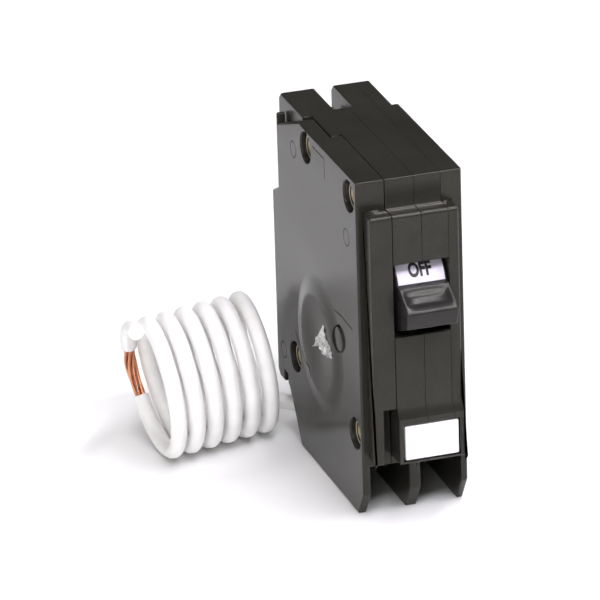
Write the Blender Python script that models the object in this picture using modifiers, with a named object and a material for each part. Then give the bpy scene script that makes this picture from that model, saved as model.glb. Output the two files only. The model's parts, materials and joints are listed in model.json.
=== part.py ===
"""A one-pole plug-on GFCI circuit breaker with a coiled neutral pigtail.

The case stands on its fins. Sizes are in millimetres and become metres in the helpers. Places are given
from the case itself: x from the left side face, depth from the front shoulder, height from the fin tips.
"""

import math

import bmesh
import bpy
from mathutils import Matrix, Vector

MM = 0.001
GAP = 0.3  # between pieces that rest on each other

# The case
WIDTH, HEIGHT, DEPTH = 25.4, 83.1, 62.7
WALL = 1.9
SEAMS = (6.9, 13.9, 20.3)
BOSS_OUT, BOSS_LOW, BOSS_HIGH = 5.0, 15.0, 76.0
BOSS_LEFT, BOSS_RIGHT = 1.6, 22.8
BLOCK_OUT, BLOCK_LOW, BLOCK_HIGH, LEDGE_HIGH = 6.5, 15.2, 26.4, 29.5
BLOCK_LEFT, BLOCK_RIGHT = 7.05, 22.7
STRIP_RIGHT = 3.9  # the left cover's narrow strip beside the button block
TOWER_LEFT, TOWER_RIGHT, TOWER_FRONT, TOWER_LOW = 2.2, 24.1, 44.3, 58.5
TOP_STRIP_LEFT, TOP_STRIP_FRONT = 4.2, 29.9
WEB_LEFT, WEB_RIGHT = 11.3, 15.1
RIGHT_WALL_IN, RIGHT_FIN_IN = 23.5, 23.8
BAY_TOP, BAY_BACK, FLOOR_TOP = 12.9, 33.0, 14.8
SLOT_LEFT, SLOT_RIGHT, SLOT_FRONT, SLOT_LOW = 10.5, 15.1, 46.5, 58.0
SLOT_WALL_LEFT, SLOT_WALL_RIGHT = 9.0, 16.3
BULGE, BULGE_RADIUS, BULGE_RISE = (29.0, 32.5), 16.5, 0.5
FIVE_CORNER_SEAL = ((33.0, 31.7), (27.0, 33.0), (19.5, 34.0), (21.0, 36.5), (26.5, 39.6))
SEAL_THICK = 0.3
CALIBRATION, CALIBRATION_RADIUS = (14.7, 39.5), 3.25

# The rivets through all four shells
RIVETS = {
    "rivet_top_rear": (36.2, 78.8),
    "rivet_top_front": (5.2, 78.2),
    "rivet_bottom_rear": (48.7, 21.6),
    "rivet_bottom_front": (5.0, 19.8),
}
POST_RADIUS, SHANK_RADIUS, HEAD_RADIUS, COUNTERBORE = 4.2, 1.4, 3.0, 1.2

# The handle, which rests in its off position
PIVOT, DRUM_RADIUS = (5.5, 55.1), 10.0
HANDLE_LEFT, HANDLE_RIGHT = 7.7, 19.9
HANDLE_REACH = 11.5  # from the shoulder to the paddle's tip
WINDOW_LOW, WINDOW_HIGH = 46.3, 63.9
POCKET_RADIUS, CHEEK_RADIUS = 10.8, 12.2
LEFT_CHEEK_IN, RIGHT_CHEEK_IN = 4.9, 21.7
TRUNNION_RADIUS = 1.6
HANDLE_THROW = 34.0

# The contact arm, hung in the handle's fork
ARM_LEFT, ARM_RIGHT, ARM_LENGTH = 17.7, 18.6, 32.4
ARM_PIVOT = (13.9, 56.6)
ARM_OFF, ARM_ON = 10.8, 28.0  # degrees above level
CONTACT_RADIUS, CONTACT_THICK = 1.6, 1.2

# The test button
BUTTON_LEFT, BUTTON_RIGHT, BUTTON_LOW, BUTTON_HIGH = 8.35, 21.3, 16.1, 24.5

# The terminals
NEUTRAL_X, LOAD_X = 6.6, 18.8
LUG_FRONT, LUG_BACK, LUG_LOW, LUG_HIGH = 21.0, 31.0, 4.5, 12.4
SCREW_HEIGHT, STRAP_DEPTH, STRAP_THICK = 9.2, 28.8, 0.8

# The trip works
ARMATURE_PIVOT = (31.8, 27.0)
CRADLE_PIVOT = (16.0, 43.0)
SOLENOID_HEIGHT, SOLENOID_X = 50.0, 6.5

# The neutral pigtail: exit, then a coil that stands on the floor beside the case
CORD_RADIUS, COPPER_RADIUS = 1.95, 1.25
CORD_EXIT = (4.5, 51.6, 8.2)
LEAD_ROUTE = (
    (4.5, 46.4, 8.2), (4.5, 49.0, 8.2), (4.5, 51.6, 8.2), (4.3, 54.2, 7.7),
    (3.3, 57.0, 6.2), (2.1, 60.2, 5.4), (1.3, 62.4, 5.2), (0.7, 64.0, 5.1),
)
TURN_RADIUS, TURN_PITCH, TURN_SHEAR, TURN_TILT = 14.98, 4.94, 0.26, -0.146
FIRST_TURN = (-7.65, 60.05)  # x and depth of the first turn where it faces the front
LAST_BOTTOM, END_PITCH = 2070, 2.96  # past this angle the turns lie closer
COIL_RIGHT, COIL_LEFT = -3.85, -32.4
LAST_TURN = 6
COPPER_ARC, SLUG_ARC = (-26.5, 22.0), (23.5, 88.0)  # degrees round the turn, from the far side

# The origin is under the middle of the case's box, the pigtail left out
CENTRE_X = (WIDTH - BULGE_RISE) / 2
CENTRE_DEPTH = (DEPTH - HANDLE_REACH) / 2

COLOURS = {  # base colour, roughness, metallic
    "black_phenolic": ((0.036, 0.034, 0.032), 0.32, 0.0),
    "white_plastic": ((0.80, 0.79, 0.80), 0.38, 0.0),
    "white_insulation": ((0.82, 0.82, 0.80), 0.45, 0.0),
    "brass": ((0.72, 0.62, 0.40), 0.35, 1.0),
    "steel": ((0.58, 0.58, 0.57), 0.35, 1.0),
    "spring_steel": ((0.42, 0.42, 0.44), 0.30, 1.0),
    "copper": ((0.76, 0.36, 0.20), 0.32, 1.0),
    "silver": ((0.86, 0.86, 0.84), 0.28, 1.0),
    "foil": ((0.80, 0.80, 0.80), 0.30, 1.0),
    "fibre": ((0.45, 0.30, 0.18), 0.80, 0.0),
    "board_green": ((0.04, 0.22, 0.09), 0.45, 0.0),
    "epoxy_black": ((0.02, 0.02, 0.02), 0.50, 0.0),
    "ceramic_blue": ((0.05, 0.14, 0.42), 0.45, 0.0),
    "ferrite": ((0.12, 0.12, 0.13), 0.60, 0.0),
    "winding_copper": ((0.60, 0.22, 0.08), 0.35, 0.6),
}


# ---- helpers ----

def material(name):
    found = bpy.data.materials.get(name)
    if found:
        return found
    colour, roughness, metallic = COLOURS[name]
    made = bpy.data.materials.new(name)
    made.use_nodes = True
    shader = made.node_tree.nodes["Principled BSDF"]
    shader.inputs["Base Color"].default_value = (*colour, 1)
    shader.inputs["Roughness"].default_value = roughness
    shader.inputs["Metallic"].default_value = metallic
    made.diffuse_color = (*colour, 1)
    return made


def circle(middle, radius, sides=24):
    """A loop of points round a circle."""
    turns = [2 * math.pi * i / sides for i in range(sides)]
    return [(middle[0] + radius * math.cos(t), middle[1] + radius * math.sin(t)) for t in turns]


def rectangle(u0, u1, v0, v1):
    return [(u0, v0), (u1, v0), (u1, v1), (u0, v1)]


def rounded(points, steps=4):
    """The outline again, with an arc at each corner that carries a radius."""
    outline = []
    for i, corner in enumerate(points):
        here = Vector(corner[:2])
        radius = corner[2] if len(corner) > 2 else 0
        if not radius:
            outline.append(tuple(here))
            continue
        before = (Vector(points[i - 1][:2]) - here).normalized()
        after = (Vector(points[(i + 1) % len(points)][:2]) - here).normalized()
        half = before.angle(after) / 2
        middle = here + (before + after).normalized() * radius / math.sin(half)
        start = here + before * radius / math.tan(half) - middle
        end = here + after * radius / math.tan(half) - middle
        swing = start.angle_signed(end)
        for k in range(steps + 1):
            spoke = start.copy()
            spoke.rotate(Matrix.Rotation(-swing * k / steps, 2))
            outline.append(tuple(middle + spoke))
    return outline


def ribbon(points, thick):
    """The outline of a bent strip that is thick across and follows the points."""
    line = [Vector(p) for p in points]
    sides = []
    for i, here in enumerate(line):
        into = (here - line[i - 1]).normalized() if i else None
        out = (line[i + 1] - here).normalized() if i < len(line) - 1 else None
        along = ((into or out) + (out or into)).normalized()
        across = Vector((-along.y, along.x))
        square = across.dot(Vector((-(into or out).y, (into or out).x)))
        sides.append((here + across * thick / 2 / square, here - across * thick / 2 / square))
    return [tuple(a) for a, b in sides] + [tuple(b) for a, b in reversed(sides)]


def polar(middle, radius, degrees):
    turn = math.radians(degrees)
    return middle[0] + radius * math.cos(turn), middle[1] + radius * math.sin(turn)


def smooth(points, per_span):
    """Points on a smooth curve through the given ones (Catmull-Rom)."""
    line = [Vector(p) for p in points]
    line = [2 * line[0] - line[1], *line, 2 * line[-1] - line[-2]]
    route = []
    for a, b, c, d in zip(line, line[1:], line[2:], line[3:]):
        for k in range(per_span):
            t = k / per_span
            route.append(0.5 * (2 * b + (c - a) * t + (2 * a - 5 * b + 4 * c - d) * t ** 2
                                + (3 * b - a - 3 * c + d) * t ** 3))
    return route + [line[-2]]


class Maker:
    """Makes objects in case coordinates under one empty, as parts or as cutters."""

    def __init__(self):
        self.parts = bpy.data.collections.new("gfci_breaker")
        self.cutters = bpy.data.collections.new("cutters")
        for collection in (self.parts, self.cutters):
            bpy.context.scene.collection.children.link(collection)
        self.frame = bpy.data.objects.new("case_frame", None)
        self.frame.location = Vector((-CENTRE_X, -CENTRE_DEPTH, 0)) * MM
        self.parts.objects.link(self.frame)

    def add(self, obj, finish):
        """Puts an object in its collection; one with no finish is a cutter."""
        (self.parts if finish else self.cutters).objects.link(obj)
        obj.parent = self.frame
        if finish:
            obj.data.materials.append(material(finish))
        else:
            obj.hide_render = True
            obj.display_type = "WIRE"
        return obj

    def from_curve(self, name, curve, finish, location=(0, 0, 0), turn=(0, 0, 0), smooth_angle=35):
        """A curve's surface as a closed mesh object."""
        guide = bpy.data.objects.new(name + "_curve", curve)
        bpy.context.scene.collection.objects.link(guide)
        bpy.context.view_layer.update()
        mesh = bpy.data.meshes.new_from_object(guide.evaluated_get(bpy.context.evaluated_depsgraph_get()))
        bpy.data.objects.remove(guide)
        weld(mesh)
        mesh.shade_smooth()
        mesh.set_sharp_from_angle(angle=math.radians(smooth_angle))
        obj = bpy.data.objects.new(name, mesh)
        obj.location = Vector(location) * MM
        obj.rotation_euler = [math.radians(a) for a in turn]
        return self.add(obj, finish)

    def plate(self, name, loops, axis, low, high, finish=None):
        """Flat loops made solid from low to high along an axis.

        Along X the loops are (depth, height), along Y (x, height) and along Z (x, depth).
        """
        curve = bpy.data.curves.new(name, "CURVE")
        curve.dimensions = "2D"
        curve.fill_mode = "BOTH"
        curve.extrude = (high - low) / 2 * MM
        for loop in loops:
            spline = curve.splines.new("POLY")
            spline.points.add(len(loop) - 1)
            for spot, (u, v) in zip(spline.points, loop):
                spot.co = (u * MM, v * MM, 0, 1)
            spline.use_cyclic_u = True
        middle = (low + high) / 2
        places = {"X": ((middle, 0, 0), (90, 0, 90)), "Y": ((0, middle, 0), (90, 0, 0)),
                  "Z": ((0, 0, middle), (0, 0, 0))}
        return self.from_curve(name, curve, finish, *places[axis])

    def box(self, name, x, depth, height, finish=None):
        return self.plate(name, [rectangle(*depth, *height)], "X", *x, finish)

    def rod(self, name, axis, middle, low, high, radius, finish=None, sides=18):
        """A round bar along X (middle is depth, height) or along Y (middle is x, height)."""
        mesh = bpy.data.meshes.new(name)
        shape = bmesh.new()
        bmesh.ops.create_cone(shape, cap_ends=True, segments=sides, radius1=radius * MM,
                              radius2=radius * MM, depth=(high - low) * MM)
        shape.to_mesh(mesh)
        shape.free()
        mesh.shade_smooth()
        mesh.set_sharp_from_angle(angle=math.radians(35))
        obj = bpy.data.objects.new(name, mesh)
        along = (low + high) / 2
        if axis == "X":
            obj.location = Vector((along, *middle)) * MM
            obj.rotation_euler = (0, math.radians(90), 0)
        else:
            obj.location = Vector((middle[0], along, middle[1])) * MM
            obj.rotation_euler = (math.radians(90), 0, 0)
        return self.add(obj, finish)

    def turned(self, name, profile, middle, finish=None, steps=20):
        """A profile of (radius, x) turned about an axis along X at (depth, height) middle.

        The profile runs down the outer side, from its highest x to its lowest.
        """
        mesh = bpy.data.meshes.new(name)
        mesh.from_pydata([(r * MM, 0, x * MM) for r, x in profile],
                         [(i, i + 1) for i in range(len(profile) - 1)], [])
        obj = bpy.data.objects.new(name, mesh)
        obj.location = Vector((0, *middle)) * MM
        obj.rotation_euler = (0, math.radians(90), 0)
        spin = obj.modifiers.new("spin", "SCREW")
        spin.steps = spin.render_steps = steps
        spin.use_merge_vertices = True
        spin.merge_threshold = 1e-6
        spin.use_smooth_shade = False
        return self.add(obj, finish)

    def tube(self, name, points, radius, finish, resolution=2):
        curve = bpy.data.curves.new(name, "CURVE")
        curve.dimensions = "3D"
        curve.bevel_depth = radius * MM
        curve.bevel_resolution = resolution
        curve.use_fill_caps = True
        spline = curve.splines.new("POLY")
        spline.points.add(len(points) - 1)
        for spot, place in zip(spline.points, points):
            spot.co = (*(Vector(place) * MM), 1)
        return self.from_curve(name, curve, finish, smooth_angle=60)

    def spring(self, name, start, end, radius, wire, turns, finish="spring_steel"):
        """A coil spring of wire radius wire from one point to another."""
        start, end = Vector(start), Vector(end)
        along = (end - start).normalized()
        side = along.cross(Vector((1, 0, 0)) if abs(along.x) < 0.9 else Vector((0, 1, 0))).normalized()
        other = along.cross(side)
        steps = 8 * turns
        points = []
        for k in range(steps + 1):
            t = 2 * math.pi * k / 8
            spot = start + (end - start) * k / steps
            points.append(spot + (side * math.cos(t) + other * math.sin(t)) * (radius - wire))
        return self.tube(name, points, wire, finish, resolution=1)


def weld(mesh):
    """Joins loose caps and turns every face out."""
    shape = bmesh.new()
    shape.from_mesh(mesh)
    bmesh.ops.remove_doubles(shape, verts=shape.verts, dist=1e-7)
    bmesh.ops.recalc_face_normals(shape, faces=shape.faces)
    shape.to_mesh(mesh)
    shape.free()


def change(obj, operation, *others):
    """Boolean steps on an object, one for each of the others."""
    for other in others:
        step = obj.modifiers.new(other.name, "BOOLEAN")
        step.operation = operation
        step.solver = "EXACT"
        step.object = other


# ---- the case ----

REAR_AND_BASE = [  # from the rear top down to the front bottom, with the rail hook's notch
    (DEPTH, 13.3), (61.2, 11.8), (57.6, 11.8), (57.6, 14.5), (55.2, 14.5), (55.2, 12.3),
    (54.2, 11.8), (50.0, 6.0), (46.0, 0.0), (4.0, 0.0), (0.0, 6.15),
]
PLAIN_FRONT = [(0, BOSS_LOW), (-BOSS_OUT, BOSS_LOW, 0.8), (-BOSS_OUT, BOSS_HIGH, 1.0), (0, BOSS_HIGH)]
BLOCK_FRONT = [(0, BLOCK_LOW), (-BLOCK_OUT, BLOCK_LOW, 0.5), (-BLOCK_OUT, BLOCK_HIGH, 0.6),
               (-BOSS_OUT, LEDGE_HIGH), (-BOSS_OUT, BOSS_HIGH, 1.0), (0, BOSS_HIGH)]
FULL_REAR = [(DEPTH - 1.5, HEIGHT), (DEPTH, HEIGHT - 1.5)]
LEFT_REAR = [(42.0, HEIGHT), (57.0, 77.4), (57.0, 79.7), (58.2, 79.7), (58.2, 61.0), (DEPTH, 58.8)]
CAVITY = [
    (WALL, FLOOR_TOP), (WALL, HEIGHT - WALL), (DEPTH - WALL, HEIGHT - WALL), (DEPTH - WALL, 16.4),
    (53.5, 16.4), (48.6, 7.9), (44.9, WALL), (BAY_BACK + WALL, WALL), (BAY_BACK + WALL, FLOOR_TOP),
]


def outline(front, rear):
    return rounded([*front, (0, HEIGHT), *rear, *REAR_AND_BASE])


def hollow(make, shell, left, right, kept, boss_left=None):
    """Cuts the cavity from left to right out of a shell, except where the kept solids are."""
    spaces = [make.plate(shell.name + "_cavity", [CAVITY], "X", left, right)]
    if boss_left:
        spaces.append(make.box(shell.name + "_boss_cavity", (boss_left, right),
                               (-BOSS_OUT + WALL, 2.5), (30.4, 74.1)))
    posts = [make.rod(f"{shell.name}_{name}_post", "X", place, left - 1, right + 1, POST_RADIUS)
             for name, place in RIVETS.items()]
    for space in spaces:
        change(space, "DIFFERENCE", *posts, *kept)
        change(shell, "DIFFERENCE", space)


def drill(make, shell, left, right):
    """The rivet holes through one shell."""
    for name, place in RIVETS.items():
        change(shell, "DIFFERENCE",
               make.rod(f"{shell.name}_{name}_hole", "X", place, left - 1, right + 1, SHANK_RADIUS + 0.35))


def counterbores(make, shell, low, high):
    for name, place in RIVETS.items():
        change(shell, "DIFFERENCE",
               make.rod(f"{shell.name}_{name}_sink", "X", place, low, high, 3.7, sides=20))


def bay(make, shell, x, lug_x, slit=2.6):
    """The wiring bay between two fins, and the slit over its lug for the strap."""
    change(shell, "DIFFERENCE",
           make.box(shell.name + "_bay", x, (-8, BAY_BACK), (-1, BAY_TOP)),
           make.box(shell.name + "_slit", (lug_x - slit, lug_x + slit),
                    (STRAP_DEPTH - 0.9, STRAP_DEPTH + 0.9), (BAY_TOP - 1, FLOOR_TOP + 1)))


def left_cover(make):
    right = SEAMS[0] - GAP / 2
    cover = make.plate("left_cover", [outline(PLAIN_FRONT, LEFT_REAR)], "X", 0, right, "black_phenolic")
    change(cover, "UNION",
           make.turned("bulge", [(0, 0.9), (BULGE_RADIUS, 0.9), (BULGE_RADIUS, 0.0),
                                 (BULGE_RADIUS - 1.0, -BULGE_RISE * 0.7),
                                 (BULGE_RADIUS - 2.5, -BULGE_RISE), (0, -BULGE_RISE)], BULGE, steps=40))
    cheek = make.rod("left_cheek", "X", PIVOT, LEFT_CHEEK_IN, right + 3, CHEEK_RADIUS, sides=36)
    hollow(make, cover, WALL, right + 2, [cheek], BOSS_LEFT + WALL)
    change(cover, "DIFFERENCE",
           make.box("left_boss_side", (-1, BOSS_LEFT), (-8, 0.02), (14, 77)),
           make.box("left_boss_recess", (STRIP_RIGHT, 8), (-8, 0.02), (14, 28.5)),
           make.box("left_tower_space", (WALL, 8), (TOWER_FRONT - 0.6, 64), (TOWER_LOW - GAP, 84)),
           make.box("left_top_strip_space", (TOP_STRIP_LEFT - GAP / 2, 8),
                    (TOP_STRIP_FRONT - GAP / 2, TOWER_FRONT), (77, 84)),
           make.rod("left_trunnion_hole", "X", PIVOT, 4, 8, TRUNNION_RADIUS + GAP),
           make.rod("calibration_hole", "X", CALIBRATION, -1, 2.5, CALIBRATION_RADIUS),
           make.plate("seal_recess", [grown(FIVE_CORNER_SEAL, 0.4)], "X", -1, -BULGE_RISE + SEAL_THICK + GAP),
           cord_hole(make, "left_cord_hole"))
    bay(make, cover, (WALL, 8), NEUTRAL_X)
    drill(make, cover, 0, right)
    counterbores(make, cover, -1, COUNTERBORE)


def grown(points, by):
    """An outline pushed out from its middle by about a distance."""
    line = [Vector(p) for p in points]
    middle = sum(line, Vector((0, 0))) / len(line)
    return [tuple(p + (p - middle).normalized() * by) for p in line]


def cord_hole(make, name):
    return make.rod(name, "Y", (CORD_EXIT[0], CORD_EXIT[2]), 44, 56, 2.9)


def electronics_case(make):
    left, right = SEAMS[0] + GAP / 2, SEAMS[1] - GAP / 2
    case = make.plate("electronics_case", [outline(BLOCK_FRONT, FULL_REAR)], "X", TOWER_LEFT, right,
                      "black_phenolic")
    not_tower = [(-8, -1), (-8, 84), (TOP_STRIP_FRONT + GAP / 2, 84), (TOP_STRIP_FRONT + GAP / 2, 79),
                 (TOWER_FRONT, 79), (TOWER_FRONT, TOWER_LOW), (64, TOWER_LOW), (64, -1)]
    change(case, "DIFFERENCE",
           make.plate("case_side", [not_tower], "X", 1, left),
           make.box("top_strip_side", (1, TOP_STRIP_LEFT + GAP / 2), (29, TOWER_FRONT), (78, 84)))
    ring = make.rod("pocket_ring", "X", PIVOT, 5, 12, CHEEK_RADIUS, sides=36)
    slot_house = make.box("electronics_slot_house", (SLOT_WALL_LEFT, 15), (44.9, 64), (56, 84))
    hollow(make, case, left - 1, WEB_LEFT, [ring, slot_house], left - 1)
    change(case, "DIFFERENCE",
           make.box("tower_cavity", (TOWER_LEFT + WALL, SLOT_WALL_LEFT), (TOWER_FRONT + 1.6, DEPTH - WALL),
                    (TOWER_LOW + WALL, HEIGHT - WALL)))
    open_case(make, case, "electronics", left - 1, right + 1)
    change(case, "DIFFERENCE", cord_hole(make, "electronics_cord_hole"))
    bay(make, case, (left - 1, WEB_LEFT), NEUTRAL_X)
    drill(make, case, TOWER_LEFT, right)


def open_case(make, case, half, low, high):
    """The openings that both middle shells share: handle, button, stab slot and the ways between them."""
    low_button = max(low, BLOCK_LEFT + 1)
    change(case, "DIFFERENCE",
           make.rod(half + "_pocket", "X", PIVOT, low, high, POCKET_RADIUS, sides=36),
           make.box(half + "_window", (low, high), (-8, -0.7), (WINDOW_LOW, WINDOW_HIGH)),
           make.box(half + "_button_hole", (low_button, high), (-8, 0.6), (BUTTON_LOW - 0.3, BUTTON_HIGH + 0.3)),
           make.box(half + "_button_tab_space", (low_button, high), (-4.9, 2.5), (BUTTON_HIGH, 28.3)),
           make.box(half + "_stab_slot", (SLOT_LEFT, SLOT_RIGHT), (SLOT_FRONT, 64), (SLOT_LOW, 84)),
           make.box(half + "_link_window", (WEB_LEFT - 1, WEB_RIGHT + 1), (34, 40), (47, 53)),
           make.box(half + "_sensor_window", (WEB_LEFT - 1, WEB_RIGHT + 1), (29.6, 33), (28, 37)))


def mechanism_case(make):
    left, right = SEAMS[1] + GAP / 2, SEAMS[2] - GAP / 2
    case = make.plate("mechanism_case", [outline(BLOCK_FRONT, FULL_REAR)], "X", left, right,
                      "black_phenolic")
    slot_house = make.box("mechanism_slot_house", (13, SLOT_WALL_RIGHT), (44.9, 64), (56, 84))
    hollow(make, case, WEB_RIGHT, right + 1, [slot_house], WEB_RIGHT)
    open_case(make, case, "mechanism", left - 1, right + 1)
    change(case, "DIFFERENCE",
           make.box("bar_way", (14.5, 17), (46.6, 49.4), (73.2, 75.4)))
    bay(make, case, (left - 1, right + 1), LOAD_X)
    drill(make, case, left, right)


def right_cover(make):
    left = SEAMS[2] + GAP / 2
    cover = make.plate("right_cover", [outline(BLOCK_FRONT, FULL_REAR)], "X", left, WIDTH, "black_phenolic")
    cheek = make.rod("right_cheek", "X", PIVOT, 19, RIGHT_CHEEK_IN, CHEEK_RADIUS, sides=36)
    tower_wall = make.box("tower_wall", (TOWER_RIGHT - WALL, 26), (43, 64), (56.8, 84))
    hollow(make, cover, left - 1, RIGHT_WALL_IN, [cheek, tower_wall])
    button = (left - 1, BUTTON_RIGHT + 0.3)
    change(cover, "DIFFERENCE",
           make.box("right_boss_side", (BOSS_RIGHT, 27), (-8, 0.02), (14, 77)),
           make.box("tower_step", (TOWER_RIGHT, 27), (TOWER_FRONT, 64), (TOWER_LOW, 84)),
           make.rod("right_trunnion_hole", "X", PIVOT, 20, 23, TRUNNION_RADIUS + GAP),
           make.box("right_button_hole", button, (-8, 0.6), (BUTTON_LOW - 0.3, BUTTON_HIGH + 0.3)),
           make.box("right_button_tab_space", button, (-4.9, 2.5), (BUTTON_HIGH, 28.3)))
    bay(make, cover, (left - 1, RIGHT_FIN_IN), LOAD_X)
    drill(make, cover, left, WIDTH)
    counterbores(make, cover, WIDTH - COUNTERBORE, WIDTH + 1)


def case_fittings(make):
    """Rivets, the plug over the calibration screw, and the foil seal."""
    left_face, right_face = COUNTERBORE - GAP, WIDTH - COUNTERBORE + GAP
    profile = [(0, right_face + 0.6), (1.6, right_face + 0.6), (2.7, right_face + 0.2), (2.8, right_face),
               (SHANK_RADIUS, right_face), (SHANK_RADIUS, left_face), (HEAD_RADIUS, left_face),
               (HEAD_RADIUS - 0.2, left_face - 0.4), (HEAD_RADIUS - 1.2, left_face - 0.65),
               (0, left_face - 0.65)]
    for name, place in RIVETS.items():
        make.turned(name, profile, place, "brass")
    stem = CALIBRATION_RADIUS - GAP
    make.turned("calibration_plug",
                [(0, WALL), (stem, WALL), (stem, 0.7), (stem - 0.5, 0.5), (0, 0.5)], CALIBRATION,
                "epoxy_black")
    make.plate("foil_seal", [FIVE_CORNER_SEAL], "X", -BULGE_RISE, -BULGE_RISE + SEAL_THICK, "foil")


# ---- the handle and the switch contacts ----

def handle(make):
    """Drum, paddle and trunnions in one, forked behind for the contact arm."""
    top_root, low_root = 161.9, -133.9
    steps = 40
    drum = [polar(PIVOT, DRUM_RADIUS, top_root + (low_root - top_root) * k / steps) for k in range(steps + 1)]
    paddle = rounded([(-2.5, 46.8, 0.5), (-10.9, 50.2, 0.7), (-HANDLE_REACH, 51.5), (-HANDLE_REACH, 54.2, 0.8),
                      (-8.6, 55.1, 1.5), (-6.7, 56.3, 1.5), (-5.4, 58.1, 0.5)])
    lever = make.plate("handle", [drum + paddle], "X", HANDLE_LEFT, HANDLE_RIGHT, "black_phenolic")
    change(lever, "DIFFERENCE",
           make.box("drum_back", (7, 16.3), (9, 17), (40, 70)),
           make.box("fork_slot", (ARM_LEFT - GAP, ARM_RIGHT + GAP), (8, 17), (40, 70)),
           make.rod("fork_holes", "X", ARM_PIVOT, 15, 21, 1.2))
    change(lever, "UNION",
           make.rod("trunnions", "X", PIVOT, LEFT_CHEEK_IN + GAP, RIGHT_CHEEK_IN - GAP, TRUNNION_RADIUS))
    make.rod("arm_pivot_pin", "X", ARM_PIVOT, 16.0, 20.1, 0.9, "steel", sides=16)


def on_arm(pivot, degrees, along, off=0.0):
    """A point on the contact arm: so far along it, and so far off it on its upper side."""
    ahead, up = polar((0, 0), 1, degrees), polar((0, 0), 1, degrees + 90)
    return pivot[0] + ahead[0] * along + up[0] * off, pivot[1] + ahead[1] * along + up[1] * off


def arm_pivot_on():
    """Where the handle carries the arm's pivot when it is thrown on."""
    reach = math.dist(ARM_PIVOT, PIVOT)
    rest = math.degrees(math.atan2(ARM_PIVOT[1] - PIVOT[1], ARM_PIVOT[0] - PIVOT[0]))
    return polar(PIVOT, reach, rest - HANDLE_THROW)


def contact(make, name, pivot, degrees, off, finish):
    """A round contact whose flat faces lie along the arm."""
    low, high = off, off + CONTACT_THICK
    middle = on_arm(pivot, degrees, ARM_LENGTH, (low + high) / 2)
    x = (ARM_LEFT + ARM_RIGHT) / 2
    disc = make.rod(name, "X", (0, 0), -CONTACT_THICK / 2, CONTACT_THICK / 2, CONTACT_RADIUS, finish, 16)
    disc.location = Vector((x, *middle)) * MM
    disc.rotation_euler = (math.radians(degrees), 0, 0)


def switch_contacts(make):
    half_root, half_tip, tip = 2.1, 1.6, ARM_LENGTH + 2.0
    back = [on_arm(ARM_PIVOT, ARM_OFF + turn, half_root) for turn in range(90, 271, 30)]
    end = [on_arm(ARM_PIVOT, ARM_OFF, tip, -half_tip), on_arm(ARM_PIVOT, ARM_OFF, tip, half_tip)]
    make.plate("contact_arm", [back + end, circle(ARM_PIVOT, 1.2, 16)], "X", ARM_LEFT, ARM_RIGHT, "copper")
    moving = half_tip + GAP
    fixed = moving + CONTACT_THICK + GAP
    contact(make, "moving_contact", ARM_PIVOT, ARM_OFF, moving, "silver")
    contact(make, "fixed_contact", arm_pivot_on(), ARM_ON, fixed, "silver")
    bar = fixed + CONTACT_THICK + GAP + 0.5
    path = [on_arm(arm_pivot_on(), ARM_ON, ARM_LENGTH + along, bar) for along in (-3, 3)]
    strap = make.plate("fixed_contact_bar", [ribbon([*path, (44.4, 74.3), (48.9, 74.3)], 1.0)], "X",
                       16.6, 19.8, "copper")
    change(strap, "UNION", make.box("bar_tail", (12.0, 17.2), (47.0, 48.7), (73.9, 74.7)))
    teeth = [(57.2, 60.5)]
    for k in range(5):
        base = 60.5 + 2.4 * k
        teeth += [(50.5, base), (50.5, base + 0.8), (57.2, base + 0.8)]
        teeth += [(57.2, base + 2.4)] if k < 4 else []
    make.plate("arc_chute", [teeth[1:] + [(58.0, 70.9), (58.0, 60.5)]], "X", 17.0, 21.6, "fibre")


def line_jaw(make):
    """The copper jaw that grips the panel's stab, and the spring clip round it."""
    jaw = [(11.8, 58.2), (12.2, 56.2), (11.8, 50.5), (11.8, 49.65), (13.8, 49.65), (13.8, 50.5),
           (13.4, 56.2), (13.8, 58.2)]
    make.plate("stab_jaw", [ribbon(jaw, 0.6)], "Z", 61, 79, "copper")
    clip = [(11.0, 55.2), (11.0, 48.85), (14.6, 48.85), (14.6, 55.2)]
    make.plate("jaw_spring", [ribbon(clip, 0.4)], "Z", 63, 72, "spring_steel")


# ---- the trip works ----

def trip_works(make):
    make.plate("cradle", [rounded([(14.2, 41.2, 1.2), (14.2, 44.8, 1.2), (21.0, 49.0), (21.0, 51.6, 0.8),
                                   (23.4, 51.6, 0.8), (23.4, 48.4), (29.6, 48.0), (29.6, 46.4),
                                   (22.0, 44.8), (18.0, 41.2, 1.2)]), circle(CRADLE_PIVOT, 1.4, 16)],
               "X", 20.3, 21.5, "steel")
    make.rod("cradle_pin", "X", CRADLE_PIVOT, 19.4, 23.2, 1.1, "steel", 16)
    make.spring("toggle_spring", (16.4, 26.0, 57.6), (16.4, 22.4, 46.0), 1.0, 0.25, 8)
    low, high = ARMATURE_PIVOT[1], 51.0
    make.plate("armature", [ribbon([ARMATURE_PIVOT, (ARMATURE_PIVOT[0], high), (38.0, high), (38.0, 49.9)], 1.0)],
               "X", 17.7, 21.3, "steel")
    make.spring("armature_spring", (19.5, 26.4, low + 7), (19.5, 30.8, low + 7), 1.5, 0.25, 5)
    make.plate("magnet_yoke", [[(16.6, 34.0), (17.8, 34.0), (17.8, 38.6), (21.7, 38.6), (21.7, 34.0),
                                (22.9, 34.0), (22.9, 39.8), (16.6, 39.8)]], "Z", 30, 40, "steel")
    make.box("bimetal", (18.4, 21.1), (36.2, 37.2), (21, 46), "steel")
    make.tube("braid", smooth([(20.8, 38.1, 43.5), (22.2, 38.6, 46.0), (22.3, 38.4, 50.0), (22.0, 36.5, 54.5),
                               (20.6, 33.5, 56.8), (19.5, 30.5, 56.6)], 4), 0.6, "copper")


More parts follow.
